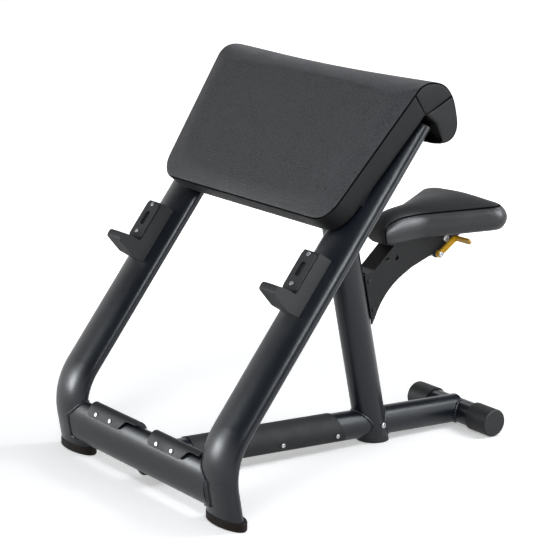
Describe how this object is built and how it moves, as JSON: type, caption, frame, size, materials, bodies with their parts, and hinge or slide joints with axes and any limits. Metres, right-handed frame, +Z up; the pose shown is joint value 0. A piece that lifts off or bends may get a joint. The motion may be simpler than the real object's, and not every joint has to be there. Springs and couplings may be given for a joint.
{
  "type": "preacher curl bench",
  "caption": "Free-standing preacher curl bench: rolled arm pad on bent oval uprights, bar hooks, T-shaped base and a lever-released sliding seat on a leaning post.",
  "frame": {"origin": "on the floor, under the middle of the bench's length and width", "axes": "+Z up, +Y from the front feet towards the seat, +X across, on the side of the release lever's grip"},
  "size_m": [0.735, 0.9669, 0.9134],
  "materials": {
    "frame_paint": "satin",
    "foot_rubber": "matte",
    "cap_rubber": "matte",
    "hook_nylon": "matte",
    "cover_plastic": "satin",
    "fastener_steel": "satin",
    "upholstery": "grained",
    "board_wood": "matte",
    "lever_paint": "gloss"
  },
  "bodies": {
    "bench_frame": {"right_upright": "frame_paint", "left_upright": "frame_paint", "right_front_foot": "foot_rubber", "left_front_foot": "foot_rubber", "right_upright_cap": "cap_rubber", "left_upright_cap": "cap_rubber", "step_grip_screws": "fastener_steel", "front_beam": "frame_paint", "right_step_grip": "cap_rubber", "left_step_grip": "cap_rubber", "post_bolt": "fastener_steel", "seat_post": "frame_paint", "post_foot": "cap_rubber", "pad_crossmember": "frame_paint", "base_cover_screws": "fastener_steel", "base_beam": "frame_paint", "rear_beam": "frame_paint", "base_cover": "cover_plastic", "rear_crossbar": "frame_paint", "right_rear_cap": "cap_rubber", "left_rear_cap": "cap_rubber", "right_bar_hook": "hook_nylon", "left_bar_hook": "hook_nylon", "right_hook_liner": "hook_nylon", "left_hook_liner": "hook_nylon", "hook_screws": "fastener_steel", "arm_pad": "upholstery", "arm_pad_board": "board_wood", "right_pad_bracket": "frame_paint", "left_pad_bracket": "frame_paint", "arm_pad_bolts": "fastener_steel", "index_bar": "fastener_steel"},
    "seat_carriage": {"slide_block": "hook_nylon", "neck_plate": "frame_paint", "right_arm_plate": "frame_paint", "left_arm_plate": "frame_paint", "arm_front_web": "frame_paint", "arm_top_web": "frame_paint", "arm_screws": "fastener_steel", "arm_bolt": "fastener_steel", "seat_plate": "frame_paint", "seat_board": "board_wood", "seat_cushion": "upholstery", "seat_bolts": "fastener_steel", "return_spring": "fastener_steel"},
    "lever": {"release_lever": "lever_paint", "lever_shaft": "fastener_steel", "lever_crank": "fastener_steel", "lever_bolt": "fastener_steel"},
    "lock": {"lock_pin": "fastener_steel", "pull_rod": "fastener_steel", "rod_cross_pin": "fastener_steel"}
  },
  "joints": [
    {"name": "seat_height", "type": "slide", "parent": "bench_frame", "child": "seat_carriage", "axis": [0, -0.2271, 0.9739], "range_m": [0, 0.15]},
    {"name": "lever_press", "type": "hinge", "parent": "seat_carriage", "child": "lever", "pos_m": [0, 0.34601, 0.44168], "axis": [-1, 0, 0], "range_deg": [0, 26], "stiffness_Nm_per_rad": 1.2, "springref_deg": -22.92},
    {"name": "lock_draw", "type": "slide", "parent": "seat_carriage", "child": "lock", "axis": [0, 0.9739, 0.2271], "range_m": [0, 0.0068]}
  ],
  "couplings": [
    {"joint": "lock_draw", "follows": "lever_press", "m_per_rad": 0.01495}
  ]
}
